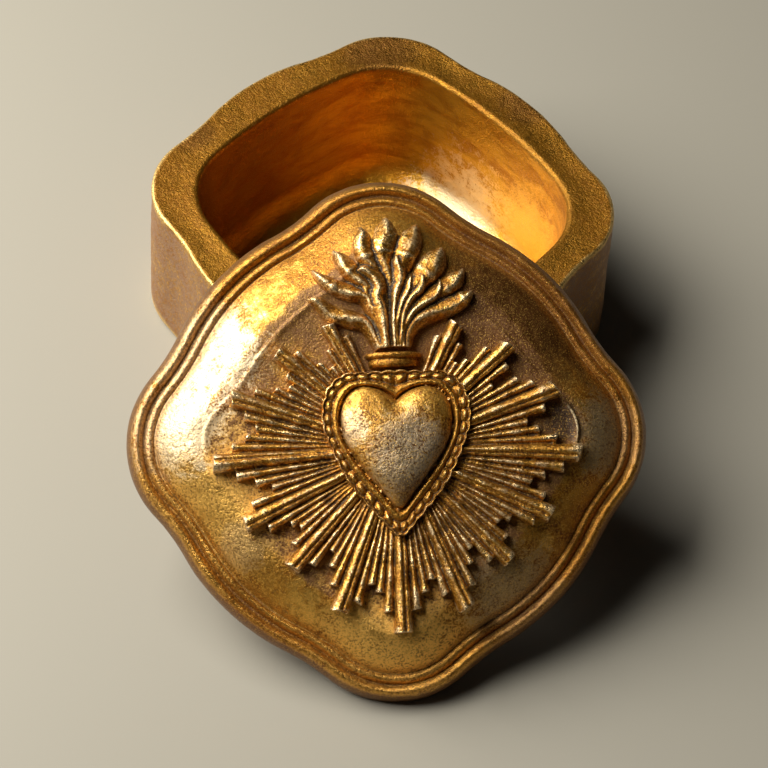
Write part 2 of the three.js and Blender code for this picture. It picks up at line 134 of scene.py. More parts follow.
def wavy_arcs(flat, corner, bulge, round, hollow):
    """Corner, hollow shoulder and half the bulging side, each as centre, radius, first and last angle."""
    bulge_at = Vector((1, 1)) * (flat - bulge) / math.sqrt(2)
    corner_at = Vector((corner - round, 0))
    across = bulge_at - corner_at
    a, b = round + hollow, bulge + hollow
    along = (across.length_squared + a * a - b * b) / (2 * across.length)
    aside = math.sqrt(a * a - along * along)
    across.normalize()
    hollow_at = corner_at + across * along + Vector((across.y, -across.x)) * aside
    corner_end = heading(corner_at, hollow_at)
    bulge_start = heading(bulge_at, hollow_at)
    return [(corner_at, round, 0.0, corner_end),
            (hollow_at, hollow, corner_end + math.pi, bulge_start + math.pi),
            (bulge_at, bulge, bulge_start, math.pi / 4)]


def soft_arcs(flat, bulge, round):
    """The same for a plan whose corners run straight into the sides."""
    offset = (flat - bulge) / math.sqrt(2)
    bulge_at = Vector((offset, offset))
    corner_at = Vector((offset + math.sqrt((bulge - round) ** 2 - offset ** 2), 0))
    join = heading(bulge_at, corner_at)
    half = (math.pi / 4 + join) / 2
    return [(corner_at, round, 0.0, join), (bulge_at, bulge, join, half), (bulge_at, bulge, half, math.pi / 4)]


def grow(plan, by):
    """The plan moved outwards by an even distance."""
    grown = {key: size + by for key, size in plan.items()}
    if "hollow" in plan:
        grown["hollow"] = plan["hollow"] - by
    return grown


def blend_plans(a, b, t):
    """A plan a share t of the way from a to b."""
    return {key: a[key] + (b[key] - a[key]) * t for key in a}


ARC_STEPS = 16


def plan_row(plan, z, share=1.0):
    """Points round the plan's outline at height z, drawn in towards the middle where share is less than one."""
    arcs = wavy_arcs(**plan) if "hollow" in plan else soft_arcs(**plan)
    eighth = []
    for centre, radius, start, end in arcs:
        for i in range(ARC_STEPS):
            angle = start + (end - start) * i / ARC_STEPS
            eighth.append(centre + Vector((math.cos(angle), math.sin(angle))) * radius)
    middle = Vector((1, 1)) * plan["flat"] / math.sqrt(2)
    quarter = eighth + [middle] + [Vector((p.y, p.x)) for p in eighth[:0:-1]]
    row = []
    for k in range(4):
        turn = Matrix.Rotation(k * math.pi / 2, 2)
        row += [turn @ p for p in quarter]
    return [Vector((p.x * share, p.y * share, z)) for p in row]


# Lofting

def lay(ring, row):
    """Moves a ring's vertices to a row of points."""
    for vert, point in zip(ring, row):
        vert.co = point


def ring_edges(bm, ring):
    """The edges that join a ring's vertices in order."""
    return [bm.edges.get((a, b)) for a, b in zip(ring, ring[1:] + ring[:1])]


def loft(bm, rows, closed=False):
    """Extrudes a ring from row to row of points; the ends are filled, or joined to each other if closed."""
    ring = bmesh.ops.create_circle(bm, cap_ends=False, segments=len(rows[0]), radius=1.0)["verts"]
    lay(ring, rows[0])
    first = ring
    for row in rows[1:]:
        made = bmesh.ops.extrude_edge_only(bm, edges=ring_edges(bm, ring))["geom"]
        fresh = {g for g in made if isinstance(g, bmesh.types.BMVert)}
        ring = [next(v for v in (e.other_vert(old) for e in old.link_edges) if v in fresh) for old in ring]
        lay(ring, row)
    if closed:
        bmesh.ops.bridge_loops(bm, edges=ring_edges(bm, first) + ring_edges(bm, ring))
        return
    for end in (first, ring):
        bmesh.ops.contextual_create(bm, geom=ring_edges(bm, end))


BOX_PLAN = {"flat": HALF_FLAT - SKIN, "corner": HALF_FLAT - SKIN + CORNER_REACH, "bulge": BULGE_R - SKIN,
            "round": CORNER_R - SKIN, "hollow": HOLLOW_R + SKIN}
MOUTH_PLAN = {"flat": HALF_FLAT - RIM_WALL, "bulge": MOUTH_BULGE_R, "round": MOUTH_CORNER_R}
LID_PLAN = grow(BOX_PLAN, LID_OVERHANG)
SLOPE_FOOT_PLAN = grow(LID_PLAN, -MOULDING)
PLATEAU_FLAT = LID_PLAN["flat"] - MOULDING - SLOPE_WIDTH
PLATEAU_PLAN = {"flat": PLATEAU_FLAT, "corner": PLATEAU_FLAT + PLATEAU_REACH, "bulge": LID_PLAN["bulge"],
                "round": PLATEAU_CORNER_R, "hollow": LID_PLAN["hollow"] + MOULDING + SLOPE_WIDTH}


def lid_place():
    """Where the lid stands: its corner just clears the table and its panel just clears the rim."""
    sin, cos = math.sin(LID_TILT), math.cos(LID_TILT)
    corner = HALF_FLAT + CORNER_REACH + LID_OVERHANG
    reach = max((corner - inset) * sin - z * cos for inset, z in (LID_FOOT[0], LID_FOOT[-1]))
    height = reach + TABLE_CLEARANCE
    arris = 0.0
    for turn in (0.0, math.pi / 4, math.pi / 2):
        out, up = math.sin(turn), 1 - math.cos(turn)
        support = (HALF_FLAT + CORNER_REACH - CORNER_R) * math.cos(LID_YAW) + CORNER_R - RIM_ROUND * up
        arris = max(arris, support * sin + (BOX_HEIGHT - RIM_ROUND * (1 - out)) * cos)
    forward = (arris + PANEL_DEPTH + CLEARANCE - height * cos) / sin
    spot = Vector((forward * math.sin(LID_YAW) + LID_SHIFT * math.cos(LID_YAW),
                   -forward * math.cos(LID_YAW) + LID_SHIFT * math.sin(LID_YAW), height))
    return Matrix.Translation(spot) @ Matrix.Rotation(LID_YAW, 4, "Z") @ Matrix.Rotation(LID_TILT, 4, "X")


LID_PLACE = lid_place()
TO_METRES = Matrix.Scale(MM, 4)


# Finishing a piece

NOISE_SPREAD = 91
NOISE_START = 7


def rough(mesh, layers, mask=None):
    """Moves vertices along their normals by layers of (amount, size) noise, as handwork and casting leave them."""
    normals = [v.normal.copy() for v in mesh.vertices]
    for v, normal in zip(mesh.vertices, normals):
        amount = sum(a * noise.noise(v.co / size + Vector((a * NOISE_SPREAD, size, NOISE_START))) for a, size in layers)
        v.co += normal * amount * (mask(v.co) if mask else 1.0)


def with_modifiers(mesh, *modifiers):
    """A copy of the mesh with modifiers applied, each given as its kind and settings."""
    holder = bpy.data.objects.new("in_making", mesh)
    bpy.context.scene.collection.objects.link(holder)
    for kind, settings in modifiers:
        made = holder.modifiers.new(kind.lower(), kind)
        for key, value in settings.items():
            setattr(made, key, value)
    done = bpy.data.meshes.new_from_object(holder.evaluated_get(bpy.context.evaluated_depsgraph_get()))
    bpy.data.objects.remove(holder)
    return done


def mesh_of(bm, name, *modifiers):
    """Turns a bmesh into a mesh with its normals outwards and its modifiers applied."""
    bmesh.ops.recalc_face_normals(bm, faces=bm.faces)
    mesh = bpy.data.meshes.new(name)
    bm.to_mesh(mesh)
    bm.free()
    if modifiers:
        mesh = with_modifiers(mesh, *modifiers)
        mesh.name = name
    return mesh


def voxels(size):
    """One closed skin round everything, in steps of the size."""
    return ("REMESH", {"mode": "VOXEL", "voxel_size": size})


def softened(times):
    """Evened out a number of times."""
    return ("SMOOTH", {"factor": 0.5, "iterations": times})


def thinned(share):
    """Fewer faces where the surface is even."""
    return ("DECIMATE", {"ratio": share})


RELIEF_PASSES = 30


def mark_relief(mesh, times):
    """Keeps how far each point stands proud of its surroundings, in millimetres, for wear and dirt."""
    evened = with_modifiers(mesh, *[softened(RELIEF_PASSES)] * times)
    relief = mesh.attributes.new("relief", "FLOAT", "POINT")
    for v, even, mark in zip(mesh.vertices, evened.vertices, relief.data):
        mark.value = (v.co - even.co).dot(v.normal)
    bpy.data.meshes.remove(evened)


def set_piece(mesh, name, body, material, place, replaces):
    """Puts a mesh in place as a piece of the object."""
    mesh.transform(TO_METRES @ place)
    mesh.shade_smooth()
    piece = bpy.data.objects.new(name, mesh)
    bpy.context.scene.collection.objects.link(piece)
    mesh.materials.clear()
    mesh.materials.append(material)
    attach(piece, body)
    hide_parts(replaces)


def quarter_turn(steps):
    """Sine and one minus cosine along a quarter turn."""
    return [(math.sin(i / steps * math.pi / 2), 1 - math.cos(i / steps * math.pi / 2)) for i in range(steps + 1)]


def ease(t):
    """A soft step from 0 to 1."""
    t = min(1.0, max(0.0, t))
    return t * t * (3 - 2 * t)


# Box body

EDGE_STEPS = 3
SIDE_STEPS = 30
RIM_STEPS = 14
MOUTH_STEPS = 7
WALL_STEPS = 26
CAVITY_STEPS = 14
FLOOR_STEPS = 26


def box_body_mesh():
    """The box as one outline drawn round the plan: foot, side, rim, mouth, inner wall and floor."""
    rows = []
    for out, up in quarter_turn(EDGE_STEPS):
        rows.append(plan_row(grow(BOX_PLAN, FOOT_SPREAD - FOOT_ROUND * (1 - out)), FOOT_ROUND * up))
    for i in range(1, SIDE_STEPS):
        t = i / SIDE_STEPS
        z = FOOT_ROUND + (BOX_HEIGHT - RIM_ROUND - FOOT_ROUND) * t
        rows.append(plan_row(grow(BOX_PLAN, FOOT_SPREAD * (1 - t)), z))
    for out, up in quarter_turn(EDGE_STEPS):
        rows.append(plan_row(grow(BOX_PLAN, -RIM_ROUND * up), BOX_HEIGHT - SKIN - RIM_ROUND * (1 - out)))
    outer = plan_row(grow(BOX_PLAN, -RIM_ROUND), 0.0)
    inner = plan_row(grow(MOUTH_PLAN, MOUTH_ROUND), 0.0)
    for i in range(1, RIM_STEPS):
        t = i / RIM_STEPS
        z = BOX_HEIGHT - SKIN - RIM_DISH * math.sin(math.pi * t)
        rows.append([Vector((*a.lerp(b, t).xy, z)) for a, b in zip(outer, inner)])
    for out, down in quarter_turn(MOUTH_STEPS):
        rows.append(plan_row(grow(MOUTH_PLAN, MOUTH_ROUND * (1 - out)), BOX_HEIGHT - SKIN - MOUTH_ROUND * down))
    wall_top, wall_foot = BOX_HEIGHT - SKIN - MOUTH_ROUND, FLOOR_THICK + CAVITY_ROUND
    for i in range(1, WALL_STEPS):
        t = i / WALL_STEPS
        rows.append(plan_row(grow(MOUTH_PLAN, -CAVITY_DRAFT * t), wall_top + (wall_foot - wall_top) * t))
    for out, up in quarter_turn(CAVITY_STEPS):
        inset = CAVITY_DRAFT + CAVITY_ROUND * up
        rows.append(plan_row(grow(MOUTH_PLAN, -inset), FLOOR_THICK + CAVITY_ROUND * (1 - out)))
    for i in range(1, FLOOR_STEPS):
        rows.append(plan_row(grow(MOUTH_PLAN, -CAVITY_DRAFT - CAVITY_ROUND), FLOOR_THICK, 1 - i / FLOOR_STEPS))
    bm = bmesh.new()
    loft(bm, rows)
    mesh = mesh_of(bm, "box_body_gilt")
    rough(mesh, [(0.3, 16.0), (0.1, 4.0), (0.05, 1.3)], lambda co: ease(co.z / 4))
    mark_relief(mesh, 1)
    return mesh


# Lid

def slope_height(t):
    """Height of the swelling slope, t going from its foot to the plateau."""
    return SIDE_HEIGHT + (LID_HEIGHT - SIDE_HEIGHT) * math.sin(math.pi / 2 * t) ** 0.85


def lid_edge():
    """Steps of (inset from the lid's edge, height) up the side and over the moulded edge."""
    steps = list(LID_FOOT)
    for t in (0.2, 0.4, 0.6, 0.8, 0.93):
        steps.append((SIDE_FLARE * t * t, SIDE_HEIGHT * t))
    start = SIDE_FLARE
    for i in range(11):
        t = i / 10
        steps.append((start + ROLL_WIDTH * t, SIDE_HEIGHT + ROLL_RISE * math.sin(math.pi * t) ** 0.8))
    start += ROLL_WIDTH
    for t in (0.25, 0.5, 0.75):
        steps.append((start + GROOVE_WIDTH * t, SIDE_HEIGHT - GROOVE_DEPTH * math.sin(math.pi * t)))
    start += GROOVE_WIDTH
    for i in range(10):
        t = i / 9
        steps.append((start + BEAD_WIDTH * t, SIDE_HEIGHT + BEAD_RISE * math.sin(math.pi * t) ** 0.8))
    return steps


def crease(point):
    """Height of the raised line round the plateau: clear on the upper left and at the right corner, else faint."""
    upper_left = ease((point.y - 0.5 * point.x + 8) / 14)
    right = math.exp(-((point.x - 41) / 5) ** 2 - ((point.y - 1) / 5.5) ** 2)
    return 0.04 + 0.26 * upper_left + 1.0 * right


# The crease, as steps of (inset from the plateau's edge, share of its height)
CREASE_STEPS = ((-0.3, 0.1), (0.05, 0.8), (0.4, 1.0), (0.9, 0.5), (1.4, 0.0))
SLOPE_STEPS = 26
PLATEAU_STEPS = 34


def lid_mesh():
    """The lid from the panel under it, over the moulded edge and the slope, to the plateau."""
    panel = grow(MOUTH_PLAN, -PANEL_PLAY - SKIN)
    rows = [plan_row(grow(panel, -0.6), SKIN - PANEL_DEPTH), plan_row(grow(panel, -0.15), SKIN + 0.15 - PANEL_DEPTH),
            plan_row(panel, 0.6 - PANEL_DEPTH), plan_row(panel, -0.2), plan_row(grow(panel, 0.2), 0.0)]
    for inset, z in lid_edge():
        rows.append(plan_row(grow(LID_PLAN, -inset), z))
    for i in range(1, SLOPE_STEPS):
        t = i / SLOPE_STEPS
        rows.append(plan_row(blend_plans(SLOPE_FOOT_PLAN, PLATEAU_PLAN, t), slope_height(t)))
    for inset, lip in CREASE_STEPS:
        line = plan_row(grow(PLATEAU_PLAN, -inset), LID_HEIGHT)
        rows.append([Vector((p.x, p.y, p.z + lip * crease(p))) for p in line])
    for i in range(1, PLATEAU_STEPS):
        rows.append(plan_row(grow(PLATEAU_PLAN, -CREASE_STEPS[-1][0]), LID_HEIGHT, 1 - i / PLATEAU_STEPS))
    bm = bmesh.new()
    loft(bm, rows)
    mesh = mesh_of(bm, "lid_gilt")
    rough(mesh, [(0.3, 13.0), (0.09, 3.5), (0.05, 1.2)], lambda co: ease((co.z + 0.3) / 1.5))
    mark_relief(mesh, 1)
    return mesh


# Heart-shaped lines

HEART_MIDDLE = Vector((0, HEART_CENTRE_Y))
CURVE_STEPS = 60
TIP_BLUNTING = 3.0


def heart_points(half_width, lobe, cleft, tip, count):
    """Evenly spaced points of a heart with a blunt tip, from the notch round by the left side."""
    w = half_width
    knots = [
        (Vector((0, cleft)), Vector((w * 0.12, (lobe + cleft) / 2)), Vector((w * 0.3, lobe)), Vector((w * 0.55, lobe))),
        (Vector((w * 0.55, lobe)), Vector((w * 0.82, lobe)), Vector((w, lobe * 0.78)), Vector((w, lobe * 0.44))),
        (Vector((w, lobe * 0.44)), Vector((w, -tip * 0.06)), Vector((w * 0.42, -tip * 0.44)), Vector((0, -tip))),
    ]
    line = []
    for a, b, c, d in knots:
        line += interpolate_bezier(a, b, c, d, CURVE_STEPS)[:-1]
    line.append(Vector((0, -tip)))
    lengths = [0.0]
    for p, q in zip(line, line[1:]):
        lengths.append(lengths[-1] + (q - p).length)
    half = count // 2
    right = []
    j = 0
    for i in range(half + 1):
        want = lengths[-1] * i / half
        while j < len(line) - 2 and lengths[j + 1] < want:
            j += 1
        span = lengths[j + 1] - lengths[j]
        right.append(line[j].lerp(line[j + 1], (want - lengths[j]) / span))
    left = [Vector((-p.x, p.y)) for p in right]
    ring = left + right[-2:0:-1]
    reach = round(TIP_BLUNTING / (2 * lengths[-1] / count))
    blunt = []
    for i, p in enumerate(ring):
        even = sum((ring[(i + j) % count] for j in range(-reach, reach + 1)), Vector((0, 0))) / (2 * reach + 1)
        blunt.append(p.lerp(even, ease((-p.y - tip * 0.6) / (tip * 0.3))))
    return [Vector((p.x, p.y + HEART_CENTRE_Y)) for p in blunt]


FULLER_SIDES = 1.7
FULLER_TIP = 1.1


def frame_points(width, count):
    """The line round the heart at a distance from it: its notch fills up and its lower half grows fuller."""
    share = min(1.0, max(0.0, width / FRAME_WIDTH))
    cleft = HEART_CLEFT + (HEART_LOBE + FRAME_WIDTH * FRAME_TOP_SHARE - HEART_CLEFT) * share
    tip = HEART_TIP + width * 1.2
    ring = heart_points(HEART_HALF_WIDTH + width, HEART_LOBE + width * 0.82, cleft, tip, count)
    full = []
    for p in ring:
        down = min(1.0, max(0.0, (HEART_CENTRE_Y + 2 - p.y) / (tip + 2)))
        sides = FULLER_SIDES * math.sin(math.pi * down ** 1.2) ** 1.3
        out = share * (sides + FULLER_TIP * ease((down - 0.6) / 0.4))
        full.append(p + (p - HEART_MIDDLE).normalized() * out)
    return full


def raised(points, z):
    """Flat points set at height z."""
    return [Vector((p.x, p.y, z)) for p in points]


HEART_POINTS = 240
HEART_STEPS = 44
HEART_WINDOW = 26
HEART_SIDE_SHARE = 0.12
FOLD_DEPTH = 1.3
FOLD_HALF_WIDTH = 2.6
FOLD_START = 4


def heart_mesh():
    """The puffed heart: rings that turn from the heart's line into a soft round one towards the top."""
    rim = heart_points(HEART_HALF_WIDTH, HEART_LOBE, HEART_CLEFT, HEART_TIP, HEART_POINTS)
    reach = [(p - HEART_MIDDLE).length for p in rim]
    near = range(-HEART_WINDOW, HEART_WINDOW + 1)
    evened = [sum(reach[(i + j) % HEART_POINTS] for j in near) / len(near) for i in range(HEART_POINTS)]
    soft = [HEART_MIDDLE + (p - HEART_MIDDLE).normalized() * even for p, even in zip(rim, evened)]
    foot = CAST_FOOT + HEART_RISE * HEART_SIDE_SHARE
    rows = [raised(rim, CAST_FOOT - CLEARANCE), raised(rim, foot)]
    for i in range(1, HEART_STEPS):
        angle = i / HEART_STEPS * math.pi / 2
        share = ease((i / HEART_STEPS - 0.1) / 0.6)
        row = []
        for p, q in zip(rim, soft):
            spot = HEART_MIDDLE.lerp(p.lerp(q, share), math.cos(angle))
            upward = ease((spot.y - HEART_CENTRE_Y - FOLD_START) / (HEART_CLEFT - FOLD_START))
            fold = FOLD_DEPTH * math.exp(-(spot.x / FOLD_HALF_WIDTH) ** 2) * upward
            puff = HEART_RISE * (1 - HEART_SIDE_SHARE) * math.sin(angle) ** 0.85
            row.append(Vector((spot.x, spot.y, foot + puff - fold * math.sin(angle))))
        rows.append(row)
    bm = bmesh.new()
    loft(bm, rows)
    mesh = mesh_of(bm, "heart_gilt", softened(6))
    rough(mesh, [(0.25, 6.0), (0.07, 1.8), (0.03, 0.6)])
    mark_relief(mesh, 1)
    return mesh


# Across the frame from its outer edge: the lip as (inset, height, wave), the bead row, the band as (inset, height)
FRAME_LIP = ((0.0, -0.6, 0.3), (0.0, 1.0, 0.42), (0.07, 1.7, 0.42), (0.22, 1.9, 0.42), (0.4, 1.75, 0.42),
             (0.52, 1.3, 0.4), (0.62, 1.05, 0.35))
BEAD_START = 0.64
BEAD_ROW_WIDTH = 1.4
BEAD_SWELL = 1.1
FRAME_BAND = ((2.1, 1.05), (2.28, 1.45), (2.52, 1.8), (2.85, 2.0), (3.15, 2.0), (3.45, 1.75), (3.65, 1.3))
FRAME_INNER = 0.3
POINTS_PER_BEAD = 12


def heart_frame_mesh():
    """Border round the heart: a broad smooth moulding, a row of soft beads and a thin wavy lip."""
    chance = random.Random(3)
    sizes = [chance.uniform(0.85, 1.1) for _ in range(FRAME_BEADS)]

    def row(width, z, wave=0.0, bead=0.0):
        """Points at a distance from the heart; wave moves them out and bead lifts them, both in step with the beads."""
        out = []
        for i, p in enumerate(frame_points(width, FRAME_BEADS * POINTS_PER_BEAD)):
            swell = abs(math.sin(math.pi * i / POINTS_PER_BEAD)) ** 0.7
            spot = p + (p - HEART_MIDDLE).normalized() * wave * (swell - 0.6)
            out.append(Vector((spot.x, spot.y, CAST_FOOT + z + bead * swell * sizes[i // POINTS_PER_BEAD])))
        return out

    rows = [row(FRAME_INNER, -0.6)]
    rows += [row(FRAME_WIDTH - inset, z, wave) for inset, z, wave in FRAME_LIP]
    for t in (0.1, 0.25, 0.5, 0.75, 0.9):
        width = FRAME_WIDTH - BEAD_START - BEAD_ROW_WIDTH * t
        rows.append(row(width, 1.0, 0.2 * (1 - t), BEAD_SWELL * math.sin(math.pi * t) ** 0.6))
    rows += [row(FRAME_WIDTH - inset, z) for inset, z in FRAME_BAND]
    rows += [row(FRAME_INNER + 0.06, 0.9), row(FRAME_INNER, 0.3)]
    bm = bmesh.new()
    loft(bm, rows, closed=True)
    mesh = mesh_of(bm, "heart_frame_gilt", voxels(0.17), softened(4))
    rough(mesh, [(0.14, 3.0), (0.05, 0.9)])
    mark_relief(mesh, 2)
    return mesh


# Sunburst

def polar(angle, radius):
    """A point out from the heart's middle, the angle being counted from straight down."""
    return Vector((math.sin(angle), -math.cos(angle))) * radius + Vector((0, HEART_CENTRE_Y))


# Along a ray from root to end, as (share of its length, of its width, of its height)
RAY_STATIONS = ((0.0, 0.96, 0.86), (0.25, 0.97, 0.88), (0.5, 0.97, 0.92), (0.75, 0.98, 0.95), (0.94, 1.0, 1.0),
                (1.0, 1.02, 1.02))
RAY_SIDES = 18
RAY_SIDE_HEIGHT = 0.6
RAY_SINK = 0.25
GROOVE_HALF_WIDTH = 0.2
GROOVE_PLACES = (-0.3, 0.25)
RAY_SLANT = 0.35


def ray(bm, chance, edges, root, reach, rise, groove=0.0):
    """A half-round bar from root to a blunt end at reach; edges gives its two side angles at a radius."""
    rows = []
    groove_at = chance.choice(GROOVE_PLACES)
    slant = chance.uniform(-RAY_SLANT, RAY_SLANT)
    for t, wide, tall in RAY_STATIONS:
        radius = root + (reach - root) * t
        low, high = edges(radius)
        here = polar((low + high) / 2, radius)
        side = polar(high, radius) - polar(low, radius)
        half = side.length / 2 * wide * chance.uniform(0.97, 1.0)
        side.normalize()
        along = Vector((side.y, -side.x))
        top = rise * tall * chance.uniform(0.98, 1.02) - (RAY_SIDE_HEIGHT - CLEARANCE)
        row = []
        for j in range(RAY_SIDES + 1):
            angle = math.pi * j / RAY_SIDES
            u, v = math.cos(angle), math.sin(angle) ** 0.6
            v -= groove * math.exp(-((u - groove_at) / GROOVE_HALF_WIDTH) ** 2)
            spot = here + side * half * u * (1 - 0.06 * v) + along * slant * half * u * (t == 1.0)
            row.append(Vector((spot.x, spot.y, LID_HEIGHT + RAY_SIDE_HEIGHT + top * v)))
        for u in (-1, 1):
            spot = here + side * half * u
            row.append(Vector((spot.x, spot.y, LID_HEIGHT - RAY_SINK)))
        rows.append(row)
    loft(bm, rows)


WIDE_ROOT_HALF = 1.05
WIDE_SPREAD = 0.034
WIDE_GROOVE = 0.2
WIDE_RISE = (RAY_RISE + DISC_THICK) * 0.86
NARROW_RISE_SHARES = (0.58, 0.7)
STEP_SHARE = 0.86


def wide_edge(radius):
    """Half angle of a cluster's wide middle ray."""
    return math.atan((WIDE_ROOT_HALF + WIDE_SPREAD * (radius - RAY_ROOT)) / radius)


def sunburst_mesh():
    """Clusters of a wide ray with two narrower ones stepped down on each side, and the plate under the heart."""
    chance = random.Random(5)
    bm = bmesh.new()
    last = (CLUSTERS - 1) // 2
    for k in range(-last, last + 1):
        middle = k * CLUSTER_PITCH
        tuck = RAY_TUCK * (abs(k) / last) ** 10
        reach = RAY_REACH + RAY_SWELL * math.cos(4 * middle) - tuck
        ray(bm, chance, lambda r: (middle - wide_edge(r), middle + wide_edge(r)), RAY_ROOT,
            reach + chance.uniform(-0.4, 0.4), WIDE_RISE, WIDE_GROOVE)
        for side in (-1, 1):
            for step in (1, 2):
                if abs(k) == last and side * k > 0 and step == 2:
                    continue

                def edges(radius):
                    """The two side angles of a narrow ray, which fills half of what the wide rays leave free."""
                    wide = wide_edge(radius)
                    narrow = (CLUSTER_PITCH / 2 - wide) / 2
                    near = middle + side * (wide + narrow * (step - 1))
                    far = middle + side * (wide + narrow * step)
                    return min(near, far), max(near, far)

                end = reach - RAY_STEP * step * STEP_SHARE + chance.uniform(-1.2, 0.9)
                ray(bm, chance, edges, RAY_ROOT, end, (RAY_RISE + DISC_THICK) * chance.uniform(*NARROW_RISE_SHARES))
    plate = frame_points(FRAME_WIDTH - 0.7, 144)
    loft(bm, [raised(plate, LID_HEIGHT - 0.2), raised(plate, PLATE_TOP + 0.3)])
    mesh = mesh_of(bm, "sunburst_gilt", voxels(0.2), softened(2), thinned(0.33))
    rough(mesh, [(0.2, 3.5), (0.07, 1.2)])
    mark_relief(mesh, 2)
    return mesh


# The collar's two rounds, as shares of its length (start, length) and of its half width
COLLAR_ROUNDS = ((0.0, 0.6, 0.92), (0.63, 0.37, 1.03))
COLLAR_SIDES = 64


def collar_mesh():
    """A low band with a thin ring above it, turned and flattened across the neck."""
    profile = [(0.3, 0.0)]
    for start_share, length_share, size in COLLAR_ROUNDS:
        start, length = COLLAR_LENGTH * start_share, COLLAR_LENGTH * length_share
        for i in range(9):
            angle = i / 8 * math.pi
            radius = COLLAR_HALF_WIDTH * size - length / 2 * (1 - math.sin(angle)) * 0.8
            profile.append((radius, start + length * (0.5 - 0.46 * math.cos(angle))))
    profile.append((0.3, COLLAR_LENGTH))
    rows = []
    for radius, y in profile:
        row = []
        for j in range(COLLAR_SIDES):
            angle = 2 * math.pi * j / COLLAR_SIDES
            up = math.sin(angle) * radius * COLLAR_RISE / COLLAR_HALF_WIDTH
            row.append(Vector((math.cos(angle) * radius, COLLAR_FOOT_Y + y, PLATE_FOOT + up)))
        rows.append(row)
    bm = bmesh.new()
    loft(bm, rows)
    cut = bmesh.ops.bisect_plane(bm, geom=bm.verts[:] + bm.edges[:] + bm.faces[:],
                                 plane_co=(0, 0, PLATE_FOOT - 0.6), plane_no=(0, 0, -1), clear_outer=True)
    bmesh.ops.contextual_create(bm, geom=[g for g in cut["geom_cut"] if isinstance(g, bmesh.types.BMEdge)])
    mesh = mesh_of(bm, "flame_collar_gilt", voxels(0.2), softened(3))
    rough(mesh, [(0.1, 2.5), (0.05, 0.7)])
    mark_relief(mesh, 1)
    return mesh


# Flame: each tongue as (x, y, width) from stem to tip, then its height above the lid
BACK_TONGUES = [
    (((-2.9, 19.3, 2.6), (-5.8, 24.4, 3.0), (-9.7, 26.1, 3.4), (-13.5, 27.4, 3.4), (-16.4, 30.0, 2.6),
      (-18.5, 30.5, 0.7)), 3.9),
    (((-2.5, 19.3, 2.4), (-3.6, 27.1, 2.6), (-6.0, 30.8, 2.8), (-9.0, 31.9, 3.1), (-12.2, 33.1, 3.1),
      (-15.5, 35.3, 2.5), (-17.3, 37.3, 0.7)), 4.2),
    (((-1.9, 19.3, 2.2), (-2.6, 27.7, 2.6), (-5.1, 32.4, 2.9), (-7.8, 35.5, 3.2), (-9.6, 37.8, 3.5),
      (-11.1, 39.9, 2.9), (-12.4, 41.6, 0.7)), 3.9),
    (((-1.2, 19.3, 2.2), (-1.8, 31.0, 2.7), (-3.6, 36.5, 3.2), (-4.9, 39.3, 3.5), (-5.8, 42.1, 3.8),
      (-5.8, 44.9, 3.2), (-6.1, 46.9, 0.7)), 3.4),
    (((0.0, 19.3, 2.4), (0.1, 29.3, 2.7), (-0.6, 34.8, 3.2), (-1.3, 38.2, 3.5), (-1.4, 41.0, 4.1),
      (-0.6, 43.7, 4.8), (-0.4, 46.5, 4.2), (-0.3, 49.1, 0.8)), 3.35),
    (((1.0, 19.3, 2.2), (1.5, 32.0, 2.8), (2.5, 37.0, 3.4), (3.5, 40.1, 4.0), (4.5, 42.5, 4.5),
      (5.8, 45.0, 3.8), (6.8, 47.3, 0.8)), 3.4),
    (((1.8, 19.3, 2.2), (2.8, 27.0, 2.7), (4.8, 32.0, 3.4), (6.9, 34.7, 4.0), (8.9, 36.9, 4.9),
      (10.9, 39.7, 4.3), (12.1, 41.8, 1.1)), 4.1),
    (((2.5, 19.3, 2.2), (3.9, 25.9, 2.6), (7.0, 29.2, 3.0), (10.4, 31.3, 3.4), (13.2, 33.2, 3.8),
      (15.2, 34.9, 3.2), (16.6, 36.7, 0.9)), 3.9),
    (((3.0, 19.3, 2.2), (3.7, 22.6, 2.5), (5.8, 25.3, 3.0), (9.1, 27.2, 3.5), (13.1, 28.5, 3.8),
      (16.4, 30.1, 3.2), (18.2, 31.5, 0.9)), 4.2),
]
FRONT_TONGUES = [
    (((-1.6, 19.3, 3.0), (-2.7, 26.8, 3.7), (-3.4, 30.2, 3.7), (-2.6, 33.2, 3.4), (-3.8, 35.7, 3.1),
      (-6.0, 36.8, 2.4), (-7.7, 36.4, 0.7)), 5.0),
    (((0.3, 19.3, 2.2), (0.5, 25.4, 2.2), (1.1, 30.9, 2.4), (1.6, 33.7, 2.7), (1.8, 35.9, 3.0),
      (1.6, 38.2, 2.6), (1.6, 40.4, 0.6)), 4.5),
    (((1.0, 19.3, 1.8), (1.2, 24.3, 1.9), (2.3, 29.2, 2.0), (3.5, 32.0, 2.1), (4.2, 34.2, 1.8),
      (4.7, 35.9, 0.5)), 5.0),
    (((2.2, 19.3, 2.0), (2.5, 22.6, 2.0), (4.7, 27.0, 2.2), (7.3, 29.3, 2.3), (9.5, 30.7, 2.3),
      (10.8, 32.5, 2.1), (10.9, 34.4, 0.6)), 4.6),
    (((1.4, 19.3, 1.9), (2.8, 26.5, 2.1), (4.5, 30.3, 2.3), (6.1, 32.5, 2.5), (6.9, 34.7, 2.2),
      (6.9, 36.9, 0.6)), 4.7),
    (((-2.4, 19.3, 2.2), (-2.9, 24.3, 2.3), (-4.6, 28.8, 2.5), (-5.2, 31.8, 2.3), (-6.3, 33.6, 1.9),
      (-7.6, 34.3, 0.6)), 4.2),
]
TONGUE_STEPS = 9
TONGUE_SIDES = 28
BACK_FULLNESS = 0.32
FRONT_FULLNESS = 0.4
FRONT_LIFT = 0.3
TONGUE_SINK = 0.5
CREST_WANDER = 0.4


